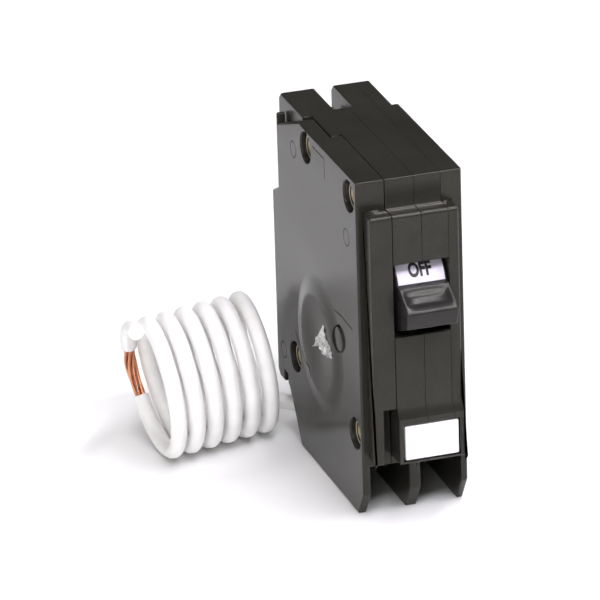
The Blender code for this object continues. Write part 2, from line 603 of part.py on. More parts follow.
def solenoid(make):
    """Frame, coil, plunger and the link that pulls the armature."""
    middle = (SOLENOID_X, SOLENOID_HEIGHT)
    frame = make.plate("solenoid_frame", [rectangle(44.0, 58.0, 44.5, 55.5), rectangle(45.2, 56.8, 45.7, 54.3)],
                       "X", 3.5, 9.5, "steel")
    change(frame, "DIFFERENCE", make.rod("plunger_way", "Y", middle, 43, 46, 2.1))
    make.plate("solenoid_coil", [circle(middle, 3.8), circle(middle, 2.1)], "Y", 45.5, 56.5, "winding_copper")
    plunger = make.rod("solenoid_plunger", "Y", middle, 37.6, 52.5, 1.7, "steel")
    change(plunger, "UNION", make.rod("plunger_flange", "Y", middle, 37.9, 38.9, 2.7))
    make.spring("plunger_spring", (SOLENOID_X, 39.4, SOLENOID_HEIGHT), (SOLENOID_X, 41.2, SOLENOID_HEIGHT),
                2.7, 0.2, 3)
    make.box("trip_link", (5.0, 20.3), (36.0, 37.2), (48.0, 49.6), "white_plastic")


# ---- the sensor and the circuit board ----

def sensor(make):
    for name, low, high, radius in (("sensor_core", 2.3, 5.0, 14.0), ("grounding_core", 5.3, 8.0, 12.5)):
        make.plate(name, [circle(BULGE, radius, 40), circle(BULGE, 7.5, 32)], "X", low, high, "ferrite")
    make.box("hot_sensor_link", (2.6, 17.6), (30.6, 31.6), (30.5, 33.0), "copper")


def board(make):
    x = 8.6
    make.plate("circuit_board", [rounded([(18.6, 55.0), (18.6, 74.0, 1), (44.0, 74.0), (44.0, 55.0, 1)])],
               "X", x, x + 1.6, "board_green")
    face = x - GAP
    make.plate("chip", [rounded([(28, 58), (28, 67.5), (34.4, 67.5), (34.4, 58)])], "X", face - 3.2, face,
               "epoxy_black")
    make.rod("varistor", "X", (22.8, 68.6), face - 3.6, face, 3.9, "ceramic_blue")
    flat_back = [polar((39.6, 70.2), 2.3, a) for a in range(-130, 131, 20)]
    make.plate("thyristor", [flat_back], "X", face - 4.8, face, "epoxy_black")
    can = make.rod("capacitor", "Y", (face - 2.7, 61.8), 36.4, 43.6, 2.6, "ceramic_blue")
    change(can, "DIFFERENCE", make.plate("can_groove", [circle((face - 2.7, 61.8), 4, 16),
                                                         circle((face - 2.7, 61.8), 2.3, 16)], "Y", 41.8, 42.6))
    resistor = make.rod("test_resistor", "Y", (face - 1.3, 57.4), 19.6, 25.8, 1.0, "fibre", 16)
    ends = [make.rod(f"resistor_end_{k}", "Y", (face - 1.3, 57.4), d, d + 1.2, 1.25, sides=16)
            for k, d in enumerate((19.4, 24.8))]
    change(resistor, "UNION", *ends)


def test_button(make):
    tab = [(-BLOCK_OUT, BUTTON_LOW, 0.4), (-BLOCK_OUT, BUTTON_HIGH, 0.4), (-4.6, BUTTON_HIGH), (-4.6, 27.6),
           (-3.4, 27.6), (-3.4, BUTTON_HIGH), (-1.5, BUTTON_HIGH), (-1.5, BUTTON_LOW)]
    make.plate("test_button", [rounded(tab)], "X", BUTTON_LEFT, BUTTON_RIGHT, "white_plastic")
    make.plate("test_contact_spring", [ribbon([(3.0, 41.0), (3.0, 26.5), (-3.0, 26.3)], 0.4)], "X", 8.6, 10.6,
               "copper")


# ---- the terminals ----

def terminal(make, side, x):
    """A lug with its screw and the plate that the screw drives against the wire."""
    lug = make.plate(side + "_lug", [rectangle(x - 4, x + 4, LUG_FRONT, LUG_BACK),
                                     rectangle(x - 2.5, x + 2.5, LUG_FRONT + 2.5, LUG_BACK - 1.5)], "Z",
                     LUG_LOW, LUG_HIGH, "steel")
    centre = (x, SCREW_HEIGHT)
    change(lug, "DIFFERENCE", make.rod(side + "_lug_thread", "Y", centre, 20, 24, 2.3))
    screw = make.rod(side + "_screw", "Y", centre, 15.6, LUG_FRONT + 2.8, 2.0, "steel")
    change(screw, "UNION", make.rod(side + "_screw_head", "Y", centre, 15, 17, 2.9))
    change(screw, "DIFFERENCE",
           make.plate(side + "_screw_slot", [rectangle(x - 4, x + 4, 14, 15.9)], "Z",
                      SCREW_HEIGHT - 0.45, SCREW_HEIGHT + 0.45))
    make.box(side + "_clamp", (x - 2.2, x + 2.2), (24.1, 25.1), (5.0, 12.0), "steel")


def conductors(make):
    make.plate("load_conductor", [ribbon([(STRAP_DEPTH, 3.0), (STRAP_DEPTH, 18.5), (35.2, 18.5), (35.2, 25.0)],
                                         STRAP_THICK)], "X", 18.4, 20.8, "copper")
    make.plate("neutral_conductor",
               [[(4.6, 3.0), (8.6, 3.0), (8.6, 15.6), (10.6, 15.6), (10.6, 34.3), (2.6, 34.3), (2.6, 33.3),
                 (8.6, 33.3), (8.6, 17.6), (4.6, 17.6)]], "Y",
               STRAP_DEPTH - STRAP_THICK / 2, STRAP_DEPTH + STRAP_THICK / 2, "copper")


# ---- the pigtail ----

def on_turn(degrees):
    """A point on the middle of the wound cord, by its angle along the winding."""
    wound = min(degrees, LAST_BOTTOM)
    x = FIRST_TURN[0] - (TURN_PITCH * (wound - 180) + END_PITCH * (degrees - wound)) / 360
    middle = (FIRST_TURN[1] + TURN_SHEAR * (x - FIRST_TURN[0]), TURN_RADIUS + CORD_RADIUS)
    depth, height = polar(middle, TURN_RADIUS, degrees)
    return x + TURN_TILT * (height - middle[1]), depth, height


def arc_on_turn(first, last, count):
    start = 360 * LAST_TURN
    return [on_turn(start + first + (last - first) * k / count) for k in range(count + 1)]


def pigtail(make):
    centre = (CORD_EXIT[0], CORD_EXIT[2])
    make.plate("pigtail_grommet", [circle(centre, 2.6), circle(centre, CORD_RADIUS + GAP)], "Y", 48.6, 53.4,
               "white_plastic")
    make.tube("pigtail_lead", LEAD_ROUTE, CORD_RADIUS, "white_insulation")
    outer, inner = TURN_RADIUS + CORD_RADIUS, TURN_RADIUS - CORD_RADIUS
    coil = make.plate("pigtail_coil", [circle((0, outer), outer, 48), circle((0, outer), inner, 40)], "X",
                      COIL_LEFT, COIL_RIGHT, "white_insulation")
    lean = Matrix.Identity(4)
    lean[0][2] = TURN_SHEAR  # the turns step forward as they step left
    lean[2][1] = TURN_TILT  # and their tops lean left
    coil.data.transform(lean)
    coil.location.x -= TURN_TILT * outer * MM
    coil.location.y = (FIRST_TURN[1] + TURN_SHEAR * ((COIL_LEFT + COIL_RIGHT) / 2 - FIRST_TURN[0])) * MM
    make.tube("pigtail_bare_copper", arc_on_turn(*COPPER_ARC, 8), COPPER_RADIUS, "copper")
    make.tube("pigtail_insulation_slug", arc_on_turn(*SLUG_ARC, 12), CORD_RADIUS, "white_insulation")


def main():
    for obj in list(bpy.data.objects):
        bpy.data.objects.remove(obj)
    make = Maker()
    for step in (left_cover, electronics_case, mechanism_case, right_cover, case_fittings, handle,
                 switch_contacts, line_jaw, trip_works, solenoid, sensor, board, test_button,
                 conductors, pigtail):
        step(make)
    for side, x in (("neutral", NEUTRAL_X), ("load", LOAD_X)):
        terminal(make, side, x)


main()
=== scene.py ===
import json
import math

import bmesh
import bpy
from mathutils import Matrix, Vector, noise


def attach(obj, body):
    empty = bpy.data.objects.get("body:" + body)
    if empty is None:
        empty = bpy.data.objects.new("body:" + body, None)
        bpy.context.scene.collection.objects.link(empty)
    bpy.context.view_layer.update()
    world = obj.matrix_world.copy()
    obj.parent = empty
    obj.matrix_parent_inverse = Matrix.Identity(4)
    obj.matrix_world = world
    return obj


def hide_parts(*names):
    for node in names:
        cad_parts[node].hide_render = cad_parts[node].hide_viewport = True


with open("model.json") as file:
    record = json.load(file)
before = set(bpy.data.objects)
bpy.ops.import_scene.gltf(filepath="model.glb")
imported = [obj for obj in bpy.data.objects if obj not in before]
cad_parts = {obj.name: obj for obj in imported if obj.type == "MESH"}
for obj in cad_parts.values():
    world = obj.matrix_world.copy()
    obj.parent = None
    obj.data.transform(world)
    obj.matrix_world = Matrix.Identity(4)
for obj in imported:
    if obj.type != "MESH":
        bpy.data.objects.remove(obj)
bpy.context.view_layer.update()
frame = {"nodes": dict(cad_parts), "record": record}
nodes = frame["nodes"]
mm = 0.001
scene = bpy.context.scene
caseMiddle = Vector((12.45, 25.6, 0))  # left face and shoulder to the frame's origin, in mm


def atCase(x, depth, height):
    # a place given in mm from the left face, the front shoulder and the fin tips
    return (Vector((x, depth, height)) - caseMiddle) * mm


def polar(middle, radius, degrees):
    turn = math.radians(degrees)
    return middle[0] + radius * math.cos(turn), middle[1] + radius * math.sin(turn)


# camera
cameraView = {
    "azimuth": -18.191, "elevation": 22.508, "roll": -1.514,  # degrees
    "distance": 1.6026, "lens": 416.4, "middle": (0.25, -0.6, 45.0),
    "aimRight": -17.73, "aimUp": -1.715,
}


def placeCamera(view):
    az, el, roll = (math.radians(view[k]) for k in ("azimuth", "elevation", "roll"))
    back = Vector((math.sin(az) * math.cos(el), -math.cos(az) * math.cos(el), math.sin(el)))
    right = Vector((math.cos(az), math.sin(az), 0))
    up = back.cross(right)
    rolledRight = right * math.cos(roll) + up * math.sin(roll)
    rolledUp = up * math.cos(roll) - right * math.sin(roll)
    middle = Vector(view["middle"]) * mm
    place = middle + back * view["distance"]
    aim = middle + (rolledRight * view["aimRight"] + rolledUp * view["aimUp"]) * mm
    away = (place - aim).normalized()
    side = rolledUp.cross(away).normalized()
    top = away.cross(side)
    data = bpy.data.cameras.new("breaker_camera")
    data.lens = view["lens"]
    data.sensor_width = 36
    data.clip_start, data.clip_end = 0.05, 20
    camera = bpy.data.objects.new("breaker_camera", data)
    turn = Matrix((side, top, away)).transposed().to_4x4()
    turn.translation = place
    camera.matrix_world = turn
    scene.collection.objects.link(camera)
    scene.camera = camera


placeCamera(cameraView)
print("camera placed")


# building helpers
def addMesh(name, points, faces, wrap=None):
    # wrap gives a (u, v) for each face corner
    mesh = bpy.data.meshes.new(name)
    mesh.from_pydata([tuple(p) for p in points], [], faces)
    if wrap:
        layer = mesh.uv_layers.new(name="wrap")
        for loop, spot in zip(layer.data, wrap):
            loop.uv = spot
    mesh.update()
    obj = bpy.data.objects.new(name, mesh)
    scene.collection.objects.link(obj)
    return obj


def tidyMesh(obj, smoothAngle=40, merge=1e-7):
    shape = bmesh.new()
    shape.from_mesh(obj.data)
    bmesh.ops.remove_doubles(shape, verts=shape.verts, dist=merge)
    bmesh.ops.recalc_face_normals(shape, faces=shape.faces)
    shape.to_mesh(obj.data)
    shape.free()
    obj.data.shade_smooth()
    obj.data.set_sharp_from_angle(angle=math.radians(smoothAngle))
    return obj


def applyModifiers(obj):
    # turns an object's modifiers into its plain mesh
    bpy.context.view_layer.update()
    made = bpy.data.meshes.new_from_object(obj.evaluated_get(bpy.context.evaluated_depsgraph_get()))
    made.name = obj.name
    if obj.type != "MESH":
        return made
    obj.modifiers.clear()
    obj.data = made
    return obj


def dress(obj, material, body, slot, *stoodFor):
    # the finish and body of a finished piece, and the nodes that it stands for
    if material:
        obj.data.materials.clear()
        obj.data.materials.append(material)
        if obj.type == "MESH":
            obj.data.polygons.foreach_set("material_index", [0] * len(obj.data.polygons))
    if body:
        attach(obj, body)
    if stoodFor:
        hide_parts(*stoodFor)
    return obj


def steadySides(line):
    # two directions across a line at each point, turned as little as possible along it
    ahead = [(b - a).normalized() for a, b in zip(line, line[1:])]
    ahead = [ahead[0], *[(a + b).normalized() for a, b in zip(ahead, ahead[1:])], ahead[-1]]
    side = ahead[0].orthogonal().normalized()
    sides = []
    for along in ahead:
        side = (side - along * side.dot(along)).normalized()
        sides.append((side, along.cross(side)))
    return sides


def addTube(name, line, radius, sides):
    # a closed tube along a line, whose wrap runs along it in metres and round it from 0 to 1
    line = [Vector(p) for p in line]
    points, faces, wrap, run = [], [], [], [0]
    for a, b in zip(line, line[1:]):
        run.append(run[-1] + (b - a).length)
    for here, (side, other) in zip(line, steadySides(line)):
        for k in range(sides):
            turn = 2 * math.pi * k / sides
            points.append(here + (side * math.cos(turn) + other * math.sin(turn)) * radius)
    for i in range(len(line) - 1):
        for k in range(sides):
            after = (k + 1) % sides
            faces.append((i * sides + k, i * sides + after, (i + 1) * sides + after, (i + 1) * sides + k))
            wrap += [(run[i], k / sides), (run[i], (k + 1) / sides),
                     (run[i + 1], (k + 1) / sides), (run[i + 1], k / sides)]
    last = (len(line) - 1) * sides
    faces += [tuple(reversed(range(sides))), tuple(range(last, last + sides))]
    wrap += [(run[0], 0.5)] * sides + [(run[-1], 0.5)] * sides
    return addMesh(name, points, faces, wrap)


def smoothLine(points, perSpan):
    line = [Vector(p) for p in points]
    line = [2 * line[0] - line[1], *line, 2 * line[-1] - line[-2]]
    route = []
    for a, b, c, d in zip(line, line[1:], line[2:], line[3:]):
        for k in range(perSpan):
            t = k / perSpan
            route.append(0.5 * (2 * b + (c - a) * t + (2 * a - 5 * b + 4 * c - d) * t ** 2
                                + (3 * b - a - 3 * c + d) * t ** 3))
    return route + [line[-2]]


def addLathe(name, profile, middle, sides):
    # a closed profile of (radius, x) in mm turned about a line along X at a (depth, height)
    points, faces = [], []
    for k in range(sides):
        turn = 2 * math.pi * k / sides
        for radius, x in profile:
            points.append(atCase(x, middle[0] + radius * math.cos(turn), middle[1] + radius * math.sin(turn)))
    n = len(profile)
    for k in range(sides):
        after = (k + 1) % sides
        for i in range(n - 1):
            faces.append((k * n + i, after * n + i, after * n + i + 1, k * n + i + 1))
    return tidyMesh(addMesh(name, points, faces), merge=1e-6)


def addPrism(name, loop, low, high):
    # a flat outline of (depth, height) in mm made solid from one x to another
    n = len(loop)
    points = [atCase(x, *spot) for x in (low, high) for spot in loop]
    faces = [tuple(reversed(range(n))), tuple(range(n, 2 * n))]
    faces += [(k, (k + 1) % n, n + (k + 1) % n, n + k) for k in range(n)]
    return tidyMesh(addMesh(name, points, faces), 30)


def joinAll(name, pieces):
    shape = bmesh.new()
    for piece in pieces:
        shape.from_mesh(piece.data)
        bpy.data.objects.remove(piece)
    mesh = bpy.data.meshes.new(name)
    shape.to_mesh(mesh)
    shape.free()
    obj = bpy.data.objects.new(name, mesh)
    scene.collection.objects.link(obj)
    return obj


def cutAway(obj, *cutters):
    for cutter in cutters:
        step = obj.modifiers.new("cut", "BOOLEAN")
        step.operation, step.solver, step.object = "DIFFERENCE", "EXACT", cutter
    applyModifiers(obj)
    for cutter in cutters:
        bpy.data.objects.remove(cutter)
    return obj


# finishes
class Finish:
    # a material's node tree, with a short way to add a node and wire it

    def __init__(self, name, roughness=0.4, metallic=0.0, **fixed):
        self.material = bpy.data.materials.new(name)
        self.material.use_nodes = True
        self.tree = self.material.node_tree
        self.shader = self.tree.nodes["Principled BSDF"]
        self.shader.inputs["Roughness"].default_value = roughness
        self.shader.inputs["Metallic"].default_value = metallic
        for socket, value in fixed.items():
            self.shader.inputs[socket].default_value = value
        self.place = self.add("ShaderNodeTexCoord").outputs["Object"]

    def add(self, kind, inputs=None, **settings):
        node = self.tree.nodes.new(kind)
        for key, value in settings.items():
            setattr(node, key, value)
        for socket, value in (inputs or {}).items():
            if isinstance(value, bpy.types.NodeSocket):
                self.tree.links.new(value, node.inputs[socket])
            else:
                node.inputs[socket].default_value = value
        return node

    def stretched(self, scale, source=None):
        given = {"Vector": source or self.place, "Scale": scale}
        return self.add("ShaderNodeMapping", given).outputs["Vector"]

    def grain(self, scale, detail=4.0, roughness=0.55, source=None, distortion=0.0):
        return self.add("ShaderNodeTexNoise", {"Vector": source or self.place, "Scale": scale, "Detail": detail,
                                               "Roughness": roughness, "Distortion": distortion}).outputs["Fac"]

    def spread(self, value, low, high, fromLow=0.3, fromHigh=0.7):
        return self.add("ShaderNodeMapRange", {"Value": value, "From Min": fromLow, "From Max": fromHigh,
                                               "To Min": low, "To Max": high}).outputs["Result"]

    def blend(self, share, first, second):
        node = self.add("ShaderNodeMix", {"Factor": share}, data_type="RGBA")
        for socket, value in ((node.inputs[6], first), (node.inputs[7], second)):
            if isinstance(value, bpy.types.NodeSocket):
                self.tree.links.new(value, socket)
            else:
                socket.default_value = (*value, 1)
        return node.outputs[2]

    def multiply(self, first, second):
        return self.add("ShaderNodeMath", {0: first, 1: second}, operation="MULTIPLY").outputs[0]

    def edges(self, low=0.52, high=0.60):
        # the worn corners of a piece
        sharp = self.add("ShaderNodeNewGeometry").outputs["Pointiness"]
        return self.spread(sharp, 0.0, 1.0, low, high)

    def colour(self, value):
        self.tree.links.new(value, self.shader.inputs["Base Color"])

    def rough(self, value):
        self.tree.links.new(value, self.shader.inputs["Roughness"])

    def bump(self, height, strength=0.2, distance=0.0001):
        node = self.add("ShaderNodeBump", {"Height": height, "Strength": strength, "Distance": distance})
        self.tree.links.new(node.outputs["Normal"], self.shader.inputs["Normal"])
        return node


def blackPhenolic(name="black_phenolic", deep=(0.0165, 0.0160, 0.0128), pale=(0.0245, 0.0235, 0.0195), low=0.20,
                  high=0.29):
    made = Finish(name, **{"IOR": 1.33, "Specular Tint": (1.0, 0.97, 0.91, 1)})
    cloud = made.grain(55, 5)
    flow = made.grain(14, 3, source=made.stretched((1, 1, 2.5)), distortion=0.6)
    body = made.blend(made.spread(cloud, 0, 1), deep, pale)
    flecks = made.spread(made.grain(2600, 2), 0, 0.5, 0.62, 0.75)
    body = made.blend(flecks, body, (0.045, 0.043, 0.040))
    worn = made.multiply(made.edges(0.53, 0.62), made.spread(made.grain(420, 3), 0, 0.35))
    made.colour(made.blend(worn, body, (0.09, 0.087, 0.085)))
    made.rough(made.spread(flow, low, high))
    made.bump(made.grain(1900, 5, 0.6), 0.09, 0.00003)
    return made.material


def whiteMoulding():
    made = Finish("white_moulding", **{"IOR": 1.48})
    body = made.blend(made.spread(made.grain(60, 3), 0, 1), (0.78, 0.775, 0.785), (0.86, 0.855, 0.86))
    grime = made.spread(made.grain(700, 4), 0, 0.25, 0.6, 0.8)
    made.colour(made.blend(grime, body, (0.6, 0.58, 0.56)))
    made.rough(made.spread(made.grain(180, 3), 0.32, 0.46))
    made.bump(made.grain(2400, 3), 0.1, 0.00003)
    return made.material


def whiteInsulation():
    # soft PVC, drawn along the wire, with rubbed marks
    made = Finish("white_insulation", **{"Subsurface Weight": 0.12, "Subsurface Scale": 0.002, "IOR": 1.5})
    made.shader.inputs["Subsurface Radius"].default_value = (1.0, 0.9, 0.8)
    wrap = made.add("ShaderNodeUVMap", uv_map="wrap").outputs["UV"]
    along = made.stretched((220, 1.5, 1), wrap)
    cloud = made.grain(1.0, 3, source=along)
    body = made.blend(made.spread(cloud, 0, 1), (0.88, 0.875, 0.865), (0.94, 0.935, 0.925))
    scuffs = made.spread(made.grain(1.0, 5, 0.7, made.stretched((1400, 14, 1), wrap)), 0, 0.35, 0.63, 0.78)
    made.colour(made.blend(scuffs, body, (0.62, 0.60, 0.585)))
    made.rough(made.spread(made.grain(1.0, 3, source=made.stretched((500, 4, 1), wrap)), 0.34, 0.5))
    made.bump(made.grain(1.0, 4, 0.6, made.stretched((700, 10, 1), wrap)), 0.12, 0.00006)
    return made.material


def brightMetal(name, light, dark, low, high, along=(1, 1, 1), scale=900, edgeColour=None):
    # a metal with drawn or rolled lines along one direction, dull patches and brighter corners
    made = Finish(name, metallic=1.0)
    lines = made.grain(scale, 4, 0.6, made.stretched(along))
    patches = made.grain(130, 4, 0.6, distortion=0.4)
    body = made.blend(made.spread(patches, 0, 1), light, dark)
    if edgeColour:
        body = made.blend(made.multiply(made.edges(), 0.6), body, edgeColour)
    made.colour(body)
    made.rough(made.spread(lines, low, high))
    made.bump(lines, 0.12, 0.00003)
    return made.material


def boardGreen():
    # solder mask with the copper runs faintly raised under it
    made = Finish("board_green", **{"Coat Weight": 0.3, "Coat Roughness": 0.15})
    cells = made.add("ShaderNodeTexVoronoi", {"Vector": made.place, "Scale": 420},
                     distance="CHEBYCHEV").outputs["Distance"]
    runs = made.spread(cells, 1, 0, 0.25, 0.32)
    body = made.blend(runs, (0.012, 0.11, 0.045), (0.02, 0.19, 0.075))
    made.colour(made.blend(made.spread(made.grain(90), 0, 0.3), body, (0.05, 0.16, 0.06)))
    made.rough(made.spread(made.grain(300), 0.35, 0.5))
    made.bump(runs, 0.3, 0.00005)
    return made.material


def castResin(name, deep, pale, low=0.42, high=0.6):
    made = Finish(name, **{"IOR": 1.5})
    body = made.blend(made.spread(made.grain(220, 4), 0, 1), deep, pale)
    rubbed = tuple(min(1, c * 2.2 + 0.02) for c in pale)
    made.colour(made.blend(made.multiply(made.edges(), 0.4), body, rubbed))
    made.rough(made.spread(made.grain(600, 3), low, high))
    made.bump(made.grain(1500, 4), 0.2, 0.00005)
    return made.material


def fibreBoard():
    made = Finish("brown_fibre")
    layers = made.grain(500, 5, 0.65, made.stretched((6, 1, 1)))
    made.colour(made.blend(made.spread(layers, 0, 1), (0.30, 0.17, 0.09), (0.52, 0.36, 0.21)))
    made.rough(made.spread(made.grain(800), 0.65, 0.85))
    made.bump(layers, 0.35, 0.0001)
    return made.material


def woundCopper():
    # enamelled wire, its colour varying at random
    made = Finish("winding_copper", metallic=0.85, **{"Coat Weight": 0.5, "Coat Roughness": 0.12})
    body = made.blend(made.spread(made.grain(300), 0, 1), (0.50, 0.17, 0.06), (0.72, 0.30, 0.12))
    made.colour(body)
    made.rough(made.spread(made.grain(900), 0.25, 0.4))
    made.bump(made.grain(1600, 3), 0.15, 0.00004)
    return made.material


def silverFoil():
    made = Finish("silver_foil", metallic=1.0)
    creases = made.add("ShaderNodeTexVoronoi", {"Vector": made.place, "Scale": 480}, feature="DISTANCE_TO_EDGE")
    crumple = made.grain(1100, 5, 0.6, distortion=1.0)
    made.colour(made.blend(made.spread(crumple, 0, 1), (0.50, 0.49, 0.47), (0.80, 0.79, 0.78)))
    made.rough(made.spread(made.grain(2500, 3), 0.22, 0.45))
    made.bump(creases.outputs["Distance"], 0.35, 0.0002)
    return made.material


finishes = {
    "black_phenolic": blackPhenolic(),
    "handle_plastic": blackPhenolic("handle_plastic", (0.0170, 0.0165, 0.0165), (0.0240, 0.0230, 0.0235),
                                    0.22, 0.30),
    "white_plastic": whiteMoulding(),
    "white_insulation": whiteInsulation(),
    "brass": brightMetal("pale_brass", (0.78, 0.70, 0.50), (0.60, 0.50, 0.32), 0.28, 0.5, scale=700),
    "steel": brightMetal("zinc_steel", (0.62, 0.62, 0.61), (0.46, 0.47, 0.46), 0.26, 0.46, (1, 1, 8),
                         edgeColour=(0.75, 0.75, 0.74)),
    "spring_steel": brightMetal("spring_steel", (0.42, 0.42, 0.44), (0.28, 0.28, 0.30), 0.2, 0.38),
    "copper": brightMetal("bare_copper", (0.86, 0.43, 0.26), (0.62, 0.27, 0.15), 0.22, 0.42, (1, 6, 6)),
    "silver": brightMetal("silver_contact", (0.88, 0.87, 0.84), (0.70, 0.68, 0.64), 0.2, 0.4),
    "foil": silverFoil(),
    "fibre": fibreBoard(),
    "board_green": boardGreen(),
    "epoxy_black": castResin("black_epoxy", (0.012, 0.012, 0.012), (0.026, 0.026, 0.027)),
    "ceramic_blue": castResin("blue_coating", (0.03, 0.09, 0.32), (0.06, 0.16, 0.46), 0.3, 0.45),
    "ferrite": castResin("core_grey", (0.09, 0.09, 0.10), (0.14, 0.14, 0.15), 0.5, 0.7),
    "winding_copper": woundCopper(),
}
slotOf = {part["node"]: part["material_slot"] for part in frame["record"]["subparts"]}
for name, node in nodes.items():
    node.data.materials.clear()
    node.data.materials.append(finishes[slotOf[name]])
print("finishes made:", len(finishes))


# the white wire, its strands and the part-stripped slug
wireSizes = {
    "radius": 1.95, "sides": 24, "turnRadius": 14.98, "turns": 6, "pitch": 4.94, "lean": 0.26, "tilt": -0.146,
    "lastBottom": 2070, "endPitch": 2.96, "firstTurn": (-7.65, 60.05), "stepDegrees": 10,
    "woundFrom": -60.0, "insulationEnd": -28.0, "exit": (4.5, 51.6, 8.2),
    "lead": ((4.5, 47.2, 8.2), (4.5, 49.0, 8.2), (4.5, 51.6, 8.2), (4.2, 54.0, 7.2), (3.1, 57.0, 5.7),
             (1.9, 60.2, 5.0), (0.5, 63.6, 4.4), (-1.1, 66.6, 3.8)),
    "slugArc": (23.5, 88.0), "slugSteps": 16,  # degrees round the last turn
}
strandSizes = {
    "count": 7, "radius": 0.41, "spread": 0.86, "arc": (-34.0, 28.0), "steps": 44, "sides": 8,
    "twist": 110, "kink": 1.3, "kinkReach": 0.42, "swell": 0.22,
}


def onTurn(sizes, degrees, outBy=0.0):
    # the turns step forward and lean to the left, and the last half turn lies closer
    wound = min(degrees, sizes["lastBottom"])
    x = sizes["firstTurn"][0] - (sizes["pitch"] * (wound - 180) + sizes["endPitch"] * (degrees - wound)) / 360
    depth = sizes["firstTurn"][1] + sizes["lean"] * (x - sizes["firstTurn"][0])
    middle = (depth, sizes["turnRadius"] + sizes["radius"])
    depth, height = polar(middle, sizes["turnRadius"] + outBy, degrees)
    return x + sizes["tilt"] * (height - middle[1]), depth, height


def whiteWire(sizes):
    lead = [atCase(*p) for p in sizes["lead"]]
    last = 360 * sizes["turns"] + sizes["insulationEnd"]
    first = sizes["woundFrom"]
    steps = round((last - first) / sizes["stepDegrees"])
    wound = [atCase(*onTurn(sizes, first + (last - first) * k / steps)) for k in range(steps + 1)]
    start = smoothLine([*lead, *wound[:3]], 3)
    line = start[:-6] + wound
    line = [p for i, p in enumerate(line) if i == 0 or (p - line[i - 1]).length > 0.0003]
    wire = addTube("white_wire", line, sizes["radius"] * mm, sizes["sides"])
    tidyMesh(wire, 60)
    length = sum((b - a).length for a, b in zip(line, line[1:]))
    return wire, line, length


def copperStrands(sizes, strand):
    # strands that leave the insulation together, part where they are kinked, and meet in the slug
    start, steps = 360 * sizes["turns"] + strand["arc"][0], strand["steps"]
    span = strand["arc"][1] - strand["arc"][0]
    shares, pieces = [k / steps for k in range(steps + 1)], []
    middle = []
    for share in shares:
        kink = max(0.0, 1 - abs(share - 0.5) / strand["kinkReach"])
        middle.append(Vector(onTurn(sizes, start + span * share, strand["kink"] * kink * kink * (3 - 2 * kink))))
    sides = steadySides(middle)
    for i in range(strand["count"]):
        line = []
        for share, here, (side, other) in zip(shares, middle, sides):
            turn = math.radians(60 * i + strand["twist"] * share)
            swell = 1 + strand["swell"] * math.sin(math.pi * share) * (1 + 0.5 * math.sin(i * 2.3 + share * 9))
            reach = 0.0 if i == 6 else strand["spread"] * swell  # one strand runs up the middle
            line.append(atCase(*(here + (side * math.cos(turn) + other * math.sin(turn)) * reach)))
        pieces.append(addTube(f"strand_{i}", line, strand["radius"] * mm, strand["sides"]))
    return tidyMesh(joinAll("copper_strands", pieces), 60, 1e-9)


def strippedSlug(sizes):
    first, last = (360 * sizes["turns"] + degrees for degrees in sizes["slugArc"])
    steps = sizes["slugSteps"]
    line = [atCase(*onTurn(sizes, first + (last - first) * k / steps)) for k in range(steps + 1)]
    return tidyMesh(addTube("stripped_slug", line, sizes["radius"] * mm, sizes["sides"]), 60)


wire, wireLine, wireLength = whiteWire(wireSizes)
strands = copperStrands(wireSizes, strandSizes)
slug = strippedSlug(wireSizes)
dress(wire, finishes["white_insulation"], "case", "white_insulation", "pigtail_lead", "pigtail_coil")
dress(strands, finishes["copper"], "case", "copper", "pigtail_bare_copper")
dress(slug, finishes["white_insulation"], "case", "white_insulation", "pigtail_insulation_slug")
[tuple(p) for p in wireLine]
print("wire wound:", round(wireLength, 4), "m")


# the four shells of the case
shellSizes = {
    "widest": 1.1, "outerRound": 0.5, "seamRound": 0.1, "edgeRound": 0.35,  # mm
    "seamClose": (0.07, 0.12, 0.13),
    "seams": (6.9, 13.9, 20.3), "sideFaces": (0.0, 25.4, 1.6, 22.8, 2.2, 24.1, 3.9),
    "grooveWide": 0.3, "grooveDeep": 0.2,
    "bulge": (29.0, 32.5), "bulgeRadius": 17.0, "bulgeRise": 0.95, "bulgeSlope": 6.0,
    "calibration": (14.7, 39.5), "calibrationRadius": 3.25,
    "outside": ((1.8, 23.6), (1.5, 61.0), (14.0, 81.4)),  # within all three, an edge is hidden
}


